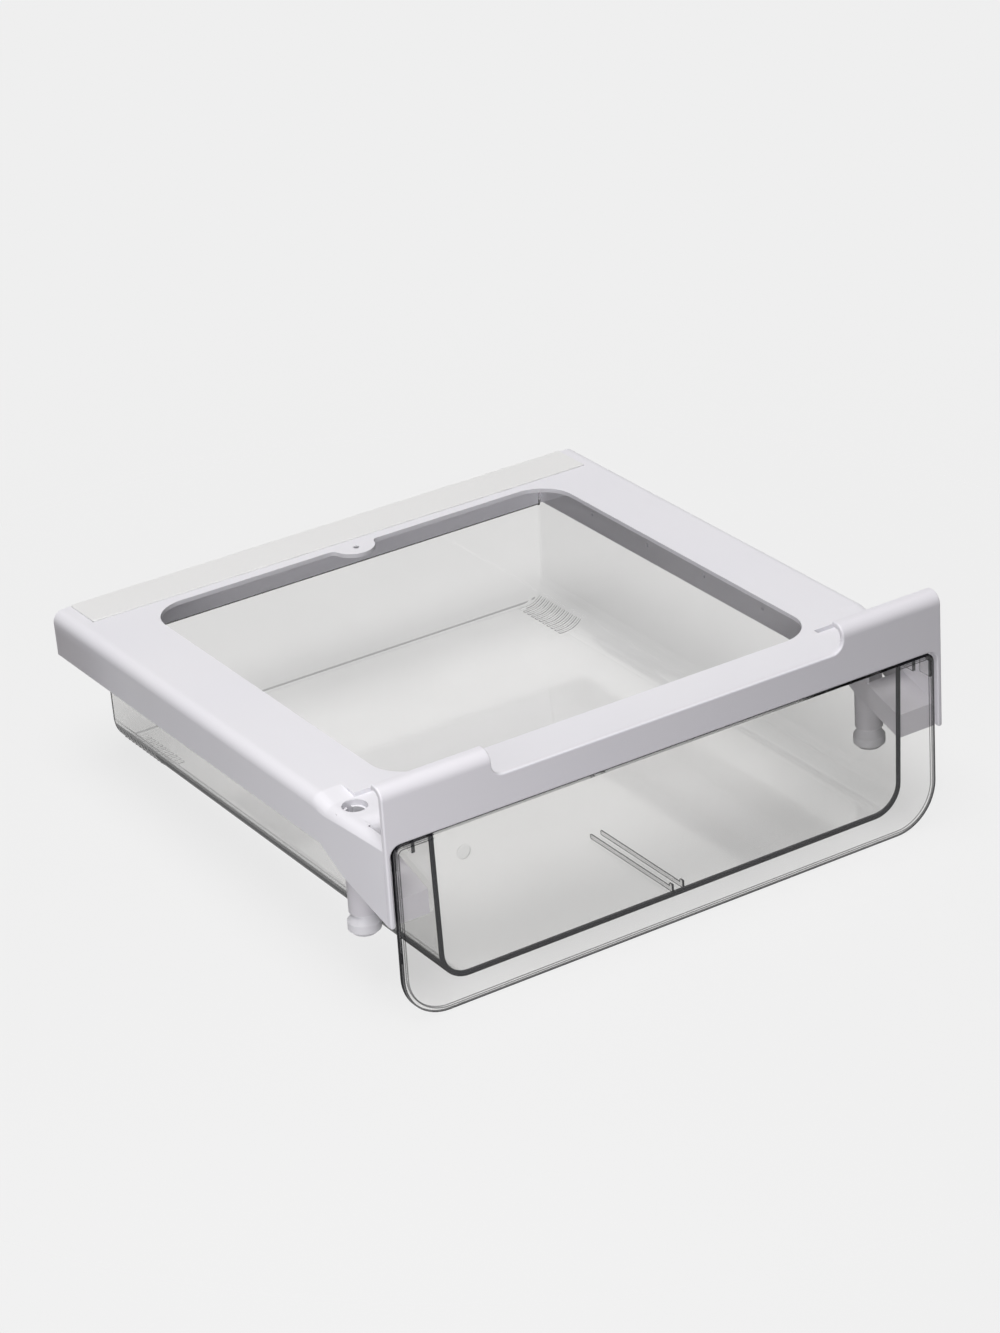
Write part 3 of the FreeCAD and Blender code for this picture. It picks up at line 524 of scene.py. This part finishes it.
def table_matt(near, far):
    """Board that is dim where it lights the part, pale where it is seen, and clear beyond far."""
    tree = Tree.material("table_matt")
    share = tree.spread(tree.noise(scale=3.0, detail=2.0), 0.0, 1.0)
    casts = matt_grey(tree, share, grey=0.15)
    direct = board(tree, share, grey=0.1, glow=0.768)
    through = board(tree, share, grey=0.33, glow=0.575)
    shut = tree.node("ShaderNodeEmission", {}, {"Strength": 0.06})
    seen = tree.blend(tree.ray("Is Transmission Ray"), direct, through)
    seen = tree.blend(caught_share(tree), seen, shut)
    sheet = tree.blend(seen_share(tree), casts, seen)
    measure = {"operation": "LENGTH"}
    distance = tree.node("ShaderNodeVectorMath", measure, {0: tree.place()}, output="Value")
    clear = tree.node("ShaderNodeBsdfTransparent")
    return tree.finish(tree.blend(distance.ramp(near, far, 0.0, 1.0), sheet, clear))


table.data.materials.append(table_matt(near=0.45, far=0.9))
print("table material:", table.data.materials[0].name)

# %% [markdown]
# ## Light
#
# A wide, soft sun hangs over the part, so the top is the brightest face and the front falls into
# soft shade. A second soft lamp stands low at the front left corner, and as it is close, its light
# dies away along the fascia and along the side. The rest is an even, dim surround. The camera and
# clear plastic see the surround as the pale backdrop instead. Only reflections find the dark end of
# the room, which lies in front of the part and is what greys the panel's face.


# %% Surround
BACKDROP = 0.863
PALE_END = (0.523, 0.852, 0.0)


def surround(seen, dark, cast):
    """World that lights the part with cast and shows itself as seen, but dark in reflections that
    look away from the room's pale end, which is at the rear right."""
    world = bpy.data.worlds.new("surround")
    bpy.context.scene.world = world
    tree = Tree(world)
    heading = tree.node("ShaderNodeTexCoord", output="Generated")
    measure = {"operation": "DOT_PRODUCT"}
    values = {0: heading, 1: PALE_END}
    ahead = tree.node("ShaderNodeVectorMath", measure, values, output="Value")
    mirrored = tree.ray("Glossy Depth").at_most(1.0)
    shown = seen + mirrored * (ahead.ramp(0.0, 0.8, dark, seen) - seen)
    strength = cast + seen_share(tree) * (shown - cast)
    values = {"Color": (1.0, 1.0, 1.0, 1.0), "Strength": strength}
    back = tree.node("ShaderNodeBackground", {}, values)
    tree.node("ShaderNodeOutputWorld", {}, {"Surface": back})


surround(BACKDROP, dark=0.08, cast=0.05)
print("surround:", bpy.context.scene.world.name)


# %% Lamps
def hang(name, data, colour, power):
    """Lamp object that clear plastic and the camera don't show as a shape."""
    data.energy = power
    data.color = colour
    lamp = bpy.data.objects.new(name, data)
    lamp.visible_transmission = False
    lamp.visible_camera = False
    bpy.context.scene.collection.objects.link(lamp)
    return lamp


def wide_sun(name, from_side, spread, power, colour):
    """Sun lamp from a direction, its spread in degrees and its power in watts per square metre."""
    data = bpy.data.lights.new(name, "SUN")
    data.angle = math.radians(spread)
    lamp = hang(name, data, colour, power)
    lamp.rotation_euler = Vector(from_side).to_track_quat("Z", "Y").to_euler()


def soft_lamp(name, place, target, size, power, colour):
    """Rectangular area lamp at place, facing target, with its power in watts."""
    data = bpy.data.lights.new(name, "AREA")
    data.shape = "RECTANGLE"
    data.size, data.size_y = size
    lamp = hang(name, data, colour, power)
    lamp.location = place
    lamp.rotation_euler = (Vector(target) - Vector(place)).to_track_quat("-Z", "Y").to_euler()


wide_sun("overhead", from_side=(-0.15, -0.15, 1.0), spread=45.0, power=2.58,
         colour=(1.0, 0.99, 0.985))
soft_lamp("front_left", place=(-0.87, -0.97, 0.3), target=(-0.15, -0.2, 0.1), size=(0.8, 0.8),
          power=7.5, colour=(0.995, 0.98, 1.0))

# %% [markdown]
# ## Camera
#
# A long lens from the front left, above the part, and turned a few degrees about its own axis. A
# Track To constraint could aim it, but it keeps a camera upright. So the camera's place and its
# axes are given outright, as a surveyor would note them.

# %% Camera from its place and axes
EYE = Vector((-1351.94, -2206.63, 1371.05)) * MM
RIGHTWARD = Vector((0.8344, -0.5480, -0.0589))
UPWARD = Vector((0.2862, 0.3395, 0.8960))
LENS = 151.81
SENSOR_WIDTH = 36.0

camera_data = bpy.data.cameras.new("camera")
camera_data.sensor_fit = "HORIZONTAL"
camera_data.sensor_width = SENSOR_WIDTH
camera_data.lens = LENS
camera_data.clip_start, camera_data.clip_end = 0.1, 50.0
camera = bpy.data.objects.new("camera", camera_data)
bpy.context.scene.collection.objects.link(camera)
right = RIGHTWARD.normalized()
behind = right.cross(UPWARD.normalized()).normalized()
above = behind.cross(right)
camera.matrix_world = Matrix.Translation(EYE) @ Matrix((right, above, behind)).transposed().to_4x4()
bpy.context.scene.camera = camera
bpy.context.scene.view_settings.view_transform = "Standard"
part_middle = (front_low + frame_high) / 2
print("camera is %.2f m from the middle of the part" % (EYE - part_middle).length)
